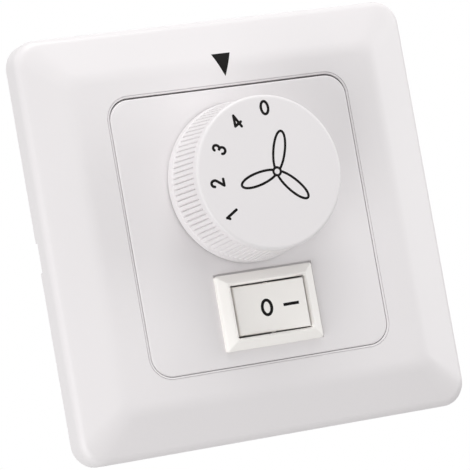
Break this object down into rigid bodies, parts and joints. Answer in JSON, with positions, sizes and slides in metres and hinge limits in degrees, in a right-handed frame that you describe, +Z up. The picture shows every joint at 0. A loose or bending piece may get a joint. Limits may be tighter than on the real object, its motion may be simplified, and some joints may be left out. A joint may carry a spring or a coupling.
{
  "type": "fan speed control switch",
  "caption": "Square flush-mounted fan regulator: cover frame, centre panel, ribbed stepped rotary knob and a small snap-in rocker switch over a wall-box mechanism.",
  "frame": {"origin": "centre of the cover frame and of the two box-screw slots, on the wall plane", "axes": "+X to the right as the user faces the switch, +Y into the wall, +Z up along the wall; the knob and rocker face -Y"},
  "size_m": [0.086, 0.0528, 0.086],
  "materials": {
    "white_cover": "satin-gloss white thermoplastic",
    "ivory_switch": "semi-gloss ivory nylon",
    "grey_insulator": "matt grey moulding",
    "black_insulator": "matt black moulding",
    "steel": "zinc-plated sheet",
    "bright_steel": "bright steel",
    "brass": "plain brass",
    "board": "phenolic laminate",
    "capacitor_case": "epoxy-filled box",
    "resistor_body": "lacquered film resistor",
    "terminal_body": "green polyamide"
  },
  "bodies": {
    "wall_unit": {"cover_frame": "white_cover", "centre_panel": "white_cover", "support_plate": "steel", "housing_screws": "bright_steel", "back_housing": "grey_insulator", "circuit_board": "board", "large_capacitor": "capacitor_case", "small_capacitor": "capacitor_case", "bleed_resistors": "resistor_body", "terminal_block": "terminal_body", "wire_clamps": "brass", "terminal_screws": "bright_steel", "selector_cover": "steel", "selector_housing": "black_insulator", "selector_rivets": "steel", "speed_contacts": "brass", "selector_bushing": "brass", "selector_nut": "bright_steel", "panel_washer": "bright_steel", "panel_nut": "bright_steel", "rocker_housing": "ivory_switch", "common_terminal": "brass", "contact_terminal": "brass"},
    "knob_set": {"knob": "white_cover", "knob_clip": "bright_steel", "selector_shaft": "steel", "selector_rotor": "ivory_switch", "retaining_ring": "bright_steel", "wiper_contact": "brass", "detent_ball": "bright_steel", "detent_spring": "bright_steel"},
    "rocker_set": {"rocker_button": "ivory_switch", "rocker_plunger": "ivory_switch", "plunger_spring": "bright_steel"},
    "lever_set": {"contact_lever": "brass"}
  },
  "joints": [
    {"name": "knob_turn", "type": "hinge", "parent": "wall_unit", "child": "knob_set", "pos_m": [0, -0.02, 0.0087], "axis": [0, 1, 0], "range_deg": [0, 120]},
    {"name": "rocker_tilt", "type": "hinge", "parent": "wall_unit", "child": "rocker_set", "pos_m": [0.0007, -0.0091, -0.0172], "axis": [0, 0, 1], "range_deg": [0, 13]},
    {"name": "lever_tilt", "type": "hinge", "parent": "wall_unit", "child": "lever_set", "pos_m": [0.0007, 0.0024, -0.0172], "axis": [0, 0, 1], "range_deg": [-12, 0]}
  ],
  "couplings": [
    {"joint": "lever_tilt", "follows": "rocker_tilt", "ratio": -0.92308}
  ]
}
